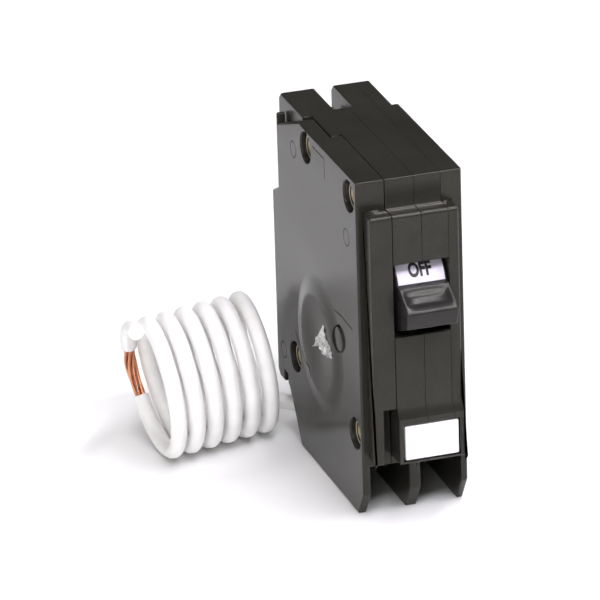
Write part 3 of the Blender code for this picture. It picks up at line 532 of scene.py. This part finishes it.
def roundedShell(nodeName, name, sizes, flatFrom=None):
    # a welded copy of the node, its flat faces whole again and its corners rounded
    shape = bmesh.new()
    shape.from_mesh(nodes[nodeName].data)
    if flatFrom is not None:
        for vert in shape.verts:
            vert.co.x = max(vert.co.x, flatFrom)
    for vert in shape.verts:  # the shells meet more closely than their solids do
        for seam, close in zip(sizes["seams"], sizes["seamClose"]):
            off = vert.co.x / mm + caseMiddle.x - seam
            if 0.1 < abs(off) < 0.2:
                vert.co.x -= math.copysign(close, off) * mm
    bmesh.ops.remove_doubles(shape, verts=shape.verts, dist=0.00003)
    bmesh.ops.dissolve_degenerate(shape, dist=0.00001, edges=shape.edges)
    bmesh.ops.dissolve_limit(shape, angle_limit=math.radians(1.2), verts=shape.verts, edges=shape.edges)
    bmesh.ops.recalc_face_normals(shape, faces=shape.faces)
    weights = shape.edges.layers.float.new("bevel_weight_edge")
    outer, seam, other = (sizes[k] for k in ("outerRound", "seamRound", "edgeRound"))
    for edge in shape.edges:
        if len(edge.link_faces) != 2 or edge.calc_face_angle_signed(0) < math.radians(33):
            continue
        a, b = (v.co / mm + caseMiddle for v in edge.verts)
        flat = abs(a.x - b.x) < 0.02
        onSeam = flat and min(abs(a.x - s) for s in sizes["seams"]) < 0.25
        onSide = flat and min(abs(a.x - s) for s in sizes["sideFaces"]) < 0.06
        if all(low < min(u, v) and max(u, v) < high for u, v, (low, high) in zip(a, b, sizes["outside"])):
            continue
        thinLip = max(a.y, b.y) < -4 and 14.6 < min(a.z, b.z) and max(a.z, b.z) < 16.6
        size = seam if onSeam or thinLip else outer if onSide else other
        short = min(1.0, (a - b).length / (2.2 * size)) if not flat else 1.0
        bossTop = not flat and max(a.y, b.y) < -4.5 and min(a.z, b.z) > 66 and abs(a.z - b.z) < 0.3
        edge[weights] = 1.0 if bossTop else size * short / sizes["widest"]
    mesh = bpy.data.meshes.new(name)
    shape.to_mesh(mesh)
    shape.free()
    obj = bpy.data.objects.new(name, mesh)
    scene.collection.objects.link(obj)
    step = obj.modifiers.new("round", "BEVEL")
    step.limit_method, step.width, step.segments = "WEIGHT", sizes["widest"] * mm, 4
    step.use_clamp_overlap = False
    step.miter_outer = "MITER_ARC"
    return applyModifiers(obj)


def levelNormals(obj, angle=40):
    obj.data.shade_smooth()
    obj.data.set_sharp_from_angle(angle=math.radians(angle))
    step = obj.modifiers.new("level", "WEIGHTED_NORMAL")
    step.keep_sharp = True
    step.weight = 80
    return applyModifiers(obj)


def ribbonLoop(points, wide):
    # the outline of a line of that width
    line = [Vector(p) for p in points]
    sides = []
    for i, here in enumerate(line):
        into = (here - line[i - 1]).normalized() if i else None
        out = (line[i + 1] - here).normalized() if i < len(line) - 1 else None
        along = ((into or out) + (out or into)).normalized()
        across = Vector((-along.y, along.x))
        square = across.dot(Vector((-(into or out).y, (into or out).x)))
        sides.append((here + across * wide / 2 / square, here - across * wide / 2 / square))
    return [tuple(a) for a, b in sides] + [tuple(b) for a, b in reversed(sides)]


def ringCutter(name, middle, radius, wide, low, high):
    half = wide / 2
    profile = [(radius - half, low), (radius + half, low), (radius + half, high), (radius - half, high),
               (radius - half, low)]
    return addLathe(name, profile, middle, 32)


sideMarks = {
    "lines": (((31.0, 81.0), (22.5, 81.0), (22.3, 76.0)),
              ((48.2, 28.4), (43.5, 25.0), (35.5, 24.5), (34.2, 21.8)),
              ((22.0, 45.0), (13.0, 45.9), (5.0, 45.5))),
    "pinRings": ((45.5, 75.0), (7.5, 67.3), (57.5, 20.0)), "pinRadius": 2.0,
}


def markCutters(sizes, marks):
    deep, wide = sizes["grooveDeep"], sizes["grooveWide"]
    cutters = [addPrism(f"line_{i}", ribbonLoop(line, wide), -2, deep)
               for i, line in enumerate(marks["lines"])]
    cutters += [ringCutter(f"ring_{i}", middle, marks["pinRadius"], wide * 0.8, -2, deep * 0.8)
                for i, middle in enumerate(marks["pinRings"])]
    return joinAll("mark_cutters", cutters)


leftShell = roundedShell("left_cover", "left_cover_shell", shellSizes, flatFrom=atCase(0, 0, 0).x)
cutAway(leftShell, markCutters(shellSizes, sideMarks))
electronicsShell = roundedShell("electronics_case", "electronics_shell", shellSizes)
mechanismShell = roundedShell("mechanism_case", "mechanism_shell", shellSizes)
rightShell = roundedShell("right_cover", "right_cover_shell", shellSizes)


def raisedDisc(sizes):
    # the low round swelling over the sensor ring, eased into the side face
    radius, rise, slope = sizes["bulgeRadius"], sizes["bulgeRise"], sizes["bulgeSlope"]
    profile = [(0.0, 0.8), (radius, 0.8), (radius, 0.02)]
    for k in range(1, 15):
        share = k / 14
        profile.append((radius - slope * share, -rise * (3 * share ** 2 - 2 * share ** 3)))
    for k in range(1, 9):
        share = k / 8
        hollow = 0.45 * math.sin(share * math.pi / 2) ** 2
        profile.append(((radius - slope) * (1 - share), -rise * (1 - hollow)))
    disc = addLathe("raised_disc", profile, sizes["bulge"], 96)
    reach = sizes["calibrationRadius"]
    hole = addLathe("disc_hole", [(0, -3), (reach, -3), (reach, 3), (0, 3)], sizes["calibration"], 40)
    discMarks = {**sideMarks, "lines": sideMarks["lines"][1:2], "pinRings": ()}
    return cutAway(disc, hole, markCutters(sizes, discMarks))


disc = raisedDisc(shellSizes)
for shell, node in ((leftShell, "left_cover"), (electronicsShell, "electronics_case"),
                    (mechanismShell, "mechanism_case"), (rightShell, "right_cover")):
    levelNormals(shell)
    dress(shell, finishes["black_phenolic"], "case", "black_phenolic", node)
disc.data.shade_smooth()
disc.data.set_sharp_from_angle(angle=math.radians(35))
dress(disc, finishes["black_phenolic"], "case", "black_phenolic")

plugSizes = {  # the profile is (radius, x)
    "middle": (14.28, 39.6),
    "profile": [(0, 1.2), (2.95, 1.2), (2.95, -0.25), (2.8, -0.4), (2.5, -0.45), (0, -0.45)],
}
plug = addLathe("filler_plug", plugSizes["profile"], plugSizes["middle"], 40)
dress(plug, finishes["black_phenolic"], "case", slotOf["calibration_plug"], "calibration_plug")
print("shells rounded")


# foil seal
sealSizes = {
    "corners": ((31.5, 31.2), (27.6, 32.8), (23.6, 32.2), (17.4, 33.4), (18.2, 36.0), (22.0, 36.8), (23.4, 39.9),
                (25.4, 37.4), (28.8, 34.6)),
    "face": -0.76, "thick": 0.05, "crumple": 0.75,
}


def foilSeal(sizes):
    # a torn scrap pressed onto the disc, its inside crumpled and its rim ragged
    corners = [Vector(c) for c in sizes["corners"]]
    middle = sum(corners, Vector((0, 0))) / len(corners)
    rim = []
    for a, b in zip(corners, corners[1:] + corners[:1]):
        for k in range(9):
            spot = a.lerp(b, k / 9)
            ragged = noise.noise(Vector((spot.x * 1.3, spot.y * 1.3, 2.0))) * 0.6
            rim.append(spot + (spot - middle).normalized() * ragged)
    rings, points, faces = 12, [], []
    for r in range(rings + 1):
        for spot in rim:
            here = middle.lerp(spot, r / rings)
            fold = noise.noise(Vector((here.x * 0.9, here.y * 0.6, 5.0)))
            small = noise.noise(Vector((here.x * 2.4, here.y * 2.4, 1)))
            lift = sizes["crumple"] * (abs(fold) * 1.2 + 0.35 * abs(small))
            points.append(atCase(sizes["face"] - lift, *here))
    n = len(rim)
    for r in range(rings):
        for k in range(n):
            after = (k + 1) % n
            faces.append((r * n + k, (r + 1) * n + k, (r + 1) * n + after, r * n + after))
    foil = addMesh("foil_scrap", points, faces)
    tidyMesh(foil, 25, 1e-6)
    step = foil.modifiers.new("thick", "SOLIDIFY")
    step.thickness, step.offset = sizes["thick"] * mm, 1
    return applyModifiers(foil)


foil = foilSeal(sealSizes)
dress(foil, finishes["foil"], "case", "foil", "foil_seal")


# rivets, by Geometry Nodes
rivetSizes = {
    "Head radius": 3.1, "Rim": 0.4, "Shank radius": 1.4, "Dish depth": 0.3,
    "places": ((36.2, 78.8), (5.2, 78.2), (48.7, 21.6), (5.0, 19.8)), "faces": (1.5, 24.0),
}


def rivetTree(material):
    tree = bpy.data.node_groups.new("rivet_heads", "GeometryNodeTree")
    tree.is_modifier = True
    face = tree.interface
    face.new_socket("Geometry", in_out="INPUT", socket_type="NodeSocketGeometry")
    for name in ("Head radius", "Rim", "Shank radius", "Dish depth"):
        face.new_socket(name, in_out="INPUT", socket_type="NodeSocketFloat")
    face.new_socket("Geometry", in_out="OUTPUT", socket_type="NodeSocketGeometry")
    add, link = tree.nodes.new, tree.links.new
    given, out = add("NodeGroupInput"), add("NodeGroupOutput")
    ring = add("GeometryNodeCurvePrimitiveCircle")
    ring.inputs["Resolution"].default_value = 40
    less = add("ShaderNodeMath")
    less.operation = "SUBTRACT"
    link(given.outputs["Head radius"], less.inputs[0])
    link(given.outputs["Rim"], less.inputs[1])
    link(less.outputs[0], ring.inputs["Radius"])
    edge = add("GeometryNodeCurvePrimitiveCircle")
    edge.inputs["Resolution"].default_value = 12
    link(given.outputs["Rim"], edge.inputs["Radius"])
    rim = add("GeometryNodeCurveToMesh")
    link(ring.outputs["Curve"], rim.inputs["Curve"])
    link(edge.outputs["Curve"], rim.inputs["Profile Curve"])
    dish = add("GeometryNodeMeshCylinder")
    dish.inputs["Vertices"].default_value = 40
    link(less.outputs[0], dish.inputs["Radius"])
    link(given.outputs["Dish depth"], dish.inputs["Depth"])
    eyelet = add("GeometryNodeCurvePrimitiveCircle")
    eyelet.inputs["Resolution"].default_value = 28
    link(given.outputs["Shank radius"], eyelet.inputs["Radius"])
    lip = add("GeometryNodeCurvePrimitiveCircle")
    lip.inputs["Resolution"].default_value = 10
    link(given.outputs["Dish depth"], lip.inputs["Radius"])
    rolled = add("GeometryNodeCurveToMesh")
    link(eyelet.outputs["Curve"], rolled.inputs["Curve"])
    link(lip.outputs["Curve"], rolled.inputs["Profile Curve"])
    joined = add("GeometryNodeJoinGeometry")
    for part in (rim.outputs["Mesh"], dish.outputs["Mesh"], rolled.outputs["Mesh"]):
        link(part, joined.inputs["Geometry"])
    stand = add("GeometryNodeTransform")
    stand.inputs["Rotation"].default_value = (0, math.radians(90), 0)
    link(joined.outputs["Geometry"], stand.inputs["Geometry"])
    spread = add("GeometryNodeInstanceOnPoints")
    link(given.outputs["Geometry"], spread.inputs["Points"])
    link(stand.outputs["Geometry"], spread.inputs["Instance"])
    real = add("GeometryNodeRealizeInstances")
    link(spread.outputs["Instances"], real.inputs["Geometry"])
    paint = add("GeometryNodeSetMaterial")
    paint.inputs["Material"].default_value = material
    link(real.outputs["Geometry"], paint.inputs["Geometry"])
    link(paint.outputs["Geometry"], out.inputs["Geometry"])
    return tree


def setInputs(step, tree, sizes, scale=1.0):
    for item in tree.interface.items_tree:
        if item.in_out == "INPUT" and item.name in sizes:
            value = sizes[item.name]
            step[item.identifier] = value * scale if isinstance(value, float) else value


def rivetHeads(sizes):
    points = [atCase(x, *place) for place in sizes["places"] for x in sizes["faces"]]
    rivets = addMesh("rivet_heads", points, [])
    tree = rivetTree(shadeDarkenedBrass)
    step = rivets.modifiers.new("rivets", "NODES")
    step.node_group = tree
    setInputs(step, tree, sizes, mm)
    applyModifiers(rivets)
    return tidyMesh(rivets, 50)


# the rivet heads get a darker copy of the pale brass: painted shade for the deep holes that they sit in
shadeDarkenedBrass = brightMetal("brass_darkened_for_shade", (0.56, 0.48, 0.33), (0.34, 0.27, 0.17), 0.34, 0.55, scale=700)
rivets = rivetHeads(rivetSizes)
dress(rivets, shadeDarkenedBrass, "case", "brass", "rivet_top_rear", "rivet_top_front", "rivet_bottom_rear",
      "rivet_bottom_front")
print("seal and rivets set")


# handle, with its white band and its letters
handleSizes = {
    "pivot": (5.5, 55.1), "drumRadius": 10.0, "left": 7.9, "right": 20.1, "round": 0.3,
    "drumArc": (161.9, -133.9), "scoop": 0.65, "scoopWide": 0.86,
    "band": (112.0, 160.6), "bandRaise": 0.05, "bandInset": 0.5,
    "offAngle": 143.5, "onAngle": 226.0, "letterHigh": 4.6, "letterWide": 0.68,
    "cuts": (("drum_back", 9, (7, 16.3)), ("fork_slot", 8, (17.4, 18.9))),  # from a depth, between two x
}


def drumBand(sizes):
    # a thin curved sheet on the drum
    left, right = sizes["left"] + sizes["bandInset"], sizes["right"] - sizes["bandInset"]
    first, last = sizes["band"]
    steps, points, faces = 24, [], []
    for radius in (sizes["drumRadius"] - 0.1, sizes["drumRadius"] + sizes["bandRaise"]):
        for k in range(steps + 1):
            place = polar(sizes["pivot"], radius, first + (last - first) * k / steps)
            points += [atCase(left, *place), atCase(right, *place)]
    n = 2 * (steps + 1)
    for k in range(steps):
        a = 2 * k
        faces += [(a, a + 1, a + 3, a + 2), (n + a, n + a + 2, n + a + 3, n + a + 1),
                  (a, a + 2, n + a + 2, n + a), (a + 1, n + a + 1, n + a + 3, a + 3)]
    faces += [(0, n, n + 1, 1), (n - 2, n - 1, 2 * n - 1, 2 * n - 2)]
    return tidyMesh(addMesh("handle_band", points, faces), 40)


def drumLetters(name, words, sizes, angle):
    # flat letters laid round the drum; their feet point towards the lower end of the object
    text = bpy.data.curves.new(name, "FONT")
    text.body = words
    text.size = sizes["letterHigh"] * mm
    text.align_x, text.align_y = "CENTER", "CENTER"
    text.offset, text.extrude = 0.2 * mm, 0.04 * mm
    holder = bpy.data.objects.new(name + "_text", text)
    scene.collection.objects.link(holder)
    mesh = applyModifiers(holder)
    bpy.data.objects.remove(holder)
    shape = bmesh.new()
    shape.from_mesh(mesh)
    for k in range(-8, 9):  # cut across, so that the strokes follow the drum
        bmesh.ops.bisect_plane(shape, geom=[*shape.verts, *shape.edges, *shape.faces],
                               plane_co=(0, k * 0.35 * mm, 0), plane_no=(0, 1, 0))
    shape.to_mesh(mesh)
    shape.free()
    middleX = (sizes["left"] + sizes["right"]) / 2
    for vert in mesh.vertices:
        u, v, w = vert.co / mm
        radius = sizes["drumRadius"] + sizes["bandRaise"] + 0.02 + w * 0.5
        turn = angle - math.degrees(v / radius)
        vert.co = atCase(middleX + u * sizes["letterWide"], *polar(sizes["pivot"], radius, turn))
    obj = bpy.data.objects.new(name, mesh)
    scene.collection.objects.link(obj)
    return tidyMesh(obj, 40)


def letterBlack():
    made = Finish("letter_black", 0.5)
    made.colour(made.blend(made.spread(made.grain(900), 0, 1), (0.015, 0.015, 0.017), (0.045, 0.045, 0.05)))
    made.rough(made.spread(made.grain(1500), 0.4, 0.6))
    made.bump(made.grain(2500), 0.1, 0.00002)
    return made.material


def bandWhite(name="band_white", light=(0.80, 0.76, 0.87), dark=(0.70, 0.66, 0.78)):
    made = Finish(name, 0.35)
    body = made.blend(made.spread(made.grain(120), 0, 1), dark, light)
    made.colour(made.blend(made.spread(made.grain(900, 5), 0, 0.4, 0.6, 0.75), body, (0.5, 0.48, 0.5)))
    made.rough(made.spread(made.grain(500), 0.28, 0.42))
    made.bump(made.grain(1800), 0.1, 0.00003)
    return made.material


def leverOutline(sizes, scoop):
    # the drum and paddle as (depth, height), the paddle's upper face scooped by so much
    first, last = sizes["drumArc"]
    line = [polar(sizes["pivot"], sizes["drumRadius"], first + (last - first) * k / 60) for k in range(61)]
    line += roundedCorner((-2.5, 46.8), line[-1], (-10.9, 50.2), 0.5, 3)
    line += roundedCorner((-10.9, 50.2), (-2.5, 46.8), (-11.5, 51.5), 0.6, 4)
    line += roundedCorner((-11.5, 54.2), (-11.5, 51.5), (-5.4, 58.1), 0.95, 8)
    lip, ridge = Vector((-10.7, 54.75)), Vector((-5.75, 57.85))
    dip = Vector((0.53, -0.85))
    for k in range(1, 12):
        share = k / 12
        deep = min(1.0, 1.25 * math.sin(math.pi * share) ** 1.5)
        line.append(tuple(lip.lerp(ridge, share) + dip * scoop * deep))
    return line + roundedCorner((-5.4, 58.1), (-10.7, 54.75), line[0], 0.35, 4)


def roundedCorner(corner, before, after, radius, steps):
    here = Vector(corner)
    into, out = (Vector(before) - here).normalized(), (Vector(after) - here).normalized()
    half = into.angle(out) / 2
    middle = here + (into + out).normalized() * radius / math.sin(half)
    start = here + into * radius / math.tan(half) - middle
    swing = start.angle_signed(here + out * radius / math.tan(half) - middle)
    spots = []
    for k in range(steps + 1):
        spoke = start.copy()
        spoke.rotate(Matrix.Rotation(-swing * k / steps, 2))
        spots.append(tuple(middle + spoke))
    return spots


def handleLever(sizes):
    # sections from left to right, scooped between a rim at each side; the back is forked as the node is
    left, right, sections, points, faces = sizes["left"], sizes["right"], 28, [], []
    half = (right - left) / 2
    for i in range(sections + 1):
        x = left + (right - left) * i / sections
        fromMiddle = abs(x - left - half) / half
        scoop = sizes["scoop"] * max(0.0, 1 - (fromMiddle / sizes["scoopWide"]) ** 4) ** 0.6 \
            if fromMiddle < sizes["scoopWide"] else 0.0
        outline = leverOutline(sizes, scoop)
        points += [atCase(x, *p) for p in outline]
        n = len(outline)
    for i in range(sections):
        for k in range(n):
            after = (k + 1) % n
            faces.append((i * n + k, i * n + after, (i + 1) * n + after, (i + 1) * n + k))
    faces += [tuple(reversed(range(n))), tuple(range(sections * n, (sections + 1) * n))]
    lever = tidyMesh(addMesh("handle_lever", points, faces), 60)
    step = lever.modifiers.new("round", "BEVEL")
    step.limit_method, step.angle_limit = "ANGLE", math.radians(60)
    step.width, step.segments = sizes["round"] * mm, 3
    step.use_clamp_overlap = False
    applyModifiers(lever)
    return cutAway(lever, *(addPrism(name, [(near, 40), (17, 40), (17, 70), (near, 70)], *reach)
                            for name, near, reach in sizes["cuts"]))


handle = handleLever(handleSizes)
handle.data.shade_smooth()
handle.data.set_sharp_from_angle(angle=math.radians(50))
dress(handle, finishes["handle_plastic"], "handle", "handle_plastic", "handle")
band = drumBand(handleSizes)
dress(band, bandWhite(), "handle", "white_plastic")
offLetters = drumLetters("off_letters", "OFF", handleSizes, handleSizes["offAngle"])
dress(offLetters, letterBlack(), "handle", "handle_plastic")
onLetters = drumLetters("on_letters", "ON", handleSizes, handleSizes["onAngle"])
dress(onLetters, bandWhite("letter_white"), "handle", "white_plastic")
print("handle made")


# test button
buttonSizes = {
    "x": (8.35, 21.3), "height": (16.1, 24.5), "front": -6.5, "back": -1.5, "round": 0.45,
    "tab": (-4.6, -3.4, 27.6), "tabInset": 1.2, "tabRound": 0.2,
}


def testButton(sizes):
    # a cap with softly rounded corners and the tab that holds it in
    low, high = sizes["height"]
    near, far, top = sizes["tab"]
    pieces = []
    front, back = sizes["front"], sizes["back"]
    cap = [(front, low), (back, low), (back, high), (front, high)]
    tab = [(near, high - 1), (far, high - 1), (far, top), (near, top)]
    for name, loop, inset, rounding in (("cap", cap, 0, sizes["round"]),
                                        ("tab", tab, sizes["tabInset"], sizes["tabRound"])):
        block = addPrism(name, loop, sizes["x"][0] + inset, sizes["x"][1] - inset)
        step = block.modifiers.new("round", "BEVEL")
        step.width, step.segments = rounding * mm, 4
        step.limit_method, step.angle_limit = "ANGLE", math.radians(30)
        pieces.append(applyModifiers(block))
    return joinAll("test_button_cap", pieces)


button = testButton(buttonSizes)
levelNormals(button)
dress(button, finishes["white_plastic"], "test_button", "white_plastic", "test_button")
print("button made")


# floor, lights and surroundings
studio = {
    "floorColour": (0.95, 0.95, 0.95), "floorSize": 3.0,
    "skyLow": 0.8, "skyHigh": 0.02, "skyFades": (0.0, 0.15),
}
panels = {
    "near_strip": {"place": (0.20, -0.60, 0.82), "aim": (0, 0, 0.04), "size": (1.5, 0.05), "power": 11.0,
                   "colour": (0.97, 0.95, 1.0)},
    "far_strip": {"place": (0.24, -0.18, 1.05), "aim": (0, 0, 0.04), "size": (1.5, 0.055), "power": 10.5,
                  "colour": (0.97, 0.95, 1.0)},
    "overhead_panel": {"place": (-0.2, 0.55, 1.3), "aim": (0, 0, 0.03), "size": (1.2, 0.5), "power": 4.0,
                       "colour": (1.0, 0.99, 0.97)},
    "side_panel": {"place": (-1.3, -0.4, 0.9), "aim": (0, 0, 0.04), "size": (0.8, 0.6), "power": 2.4,
                   "colour": (1.0, 0.96, 0.89)},
    "fill_panel": {"place": (-0.9, -1.3, 0.5), "aim": (0, 0, 0.04), "size": (1.0, 1.0), "power": 5.0,
                   "colour": (1.0, 0.98, 0.95)},
}


def addPanel(name, given):
    data = bpy.data.lights.new(name, "AREA")
    data.shape = "RECTANGLE"
    data.size, data.size_y = given["size"]
    data.energy = given["power"]
    data.color = given["colour"]
    lamp = bpy.data.objects.new(name, data)
    place, aim = Vector(given["place"]), Vector(given["aim"])
    lamp.location = place
    lamp.rotation_euler = (place - aim).to_track_quat("Z", "Y").to_euler()
    scene.collection.objects.link(lamp)


def paleFloor(sizes):
    half = sizes["floorSize"]
    floor = addMesh("floor", [(-half, -half, 0), (half, -half, 0), (half, half, 0), (-half, half, 0)],
                    [(0, 1, 2, 3)])
    made = Finish("pale_floor", 0.6)
    light = sizes["floorColour"]
    made.colour(made.blend(made.spread(made.grain(3), 0, 1), light, tuple(c * 0.985 for c in light)))
    floor.data.materials.append(made.material)


def surroundings(sizes):
    # pale round the horizon, darker overhead
    world = bpy.data.worlds.new("studio_air")
    scene.world = world
    world.use_nodes = True
    tree = world.node_tree
    spot = tree.nodes.new("ShaderNodeTexCoord")
    parts = tree.nodes.new("ShaderNodeSeparateXYZ")
    ramp = tree.nodes.new("ShaderNodeMapRange")
    tree.links.new(spot.outputs["Generated"], parts.inputs["Vector"])
    tree.links.new(parts.outputs["Z"], ramp.inputs["Value"])
    bounds = (*sizes["skyFades"], sizes["skyLow"], sizes["skyHigh"])
    for socket, value in zip(("From Min", "From Max", "To Min", "To Max"), bounds):
        ramp.inputs[socket].default_value = value
    sky = tree.nodes["Background"]
    sky.inputs["Color"].default_value = (1, 1, 1, 1)
    tree.links.new(ramp.outputs["Result"], sky.inputs["Strength"])


paleFloor(studio)
surroundings(studio)
for panelName, panel in panels.items():
    addPanel(panelName, panel)
scene.view_settings.view_transform = "Standard"
print("studio lit")
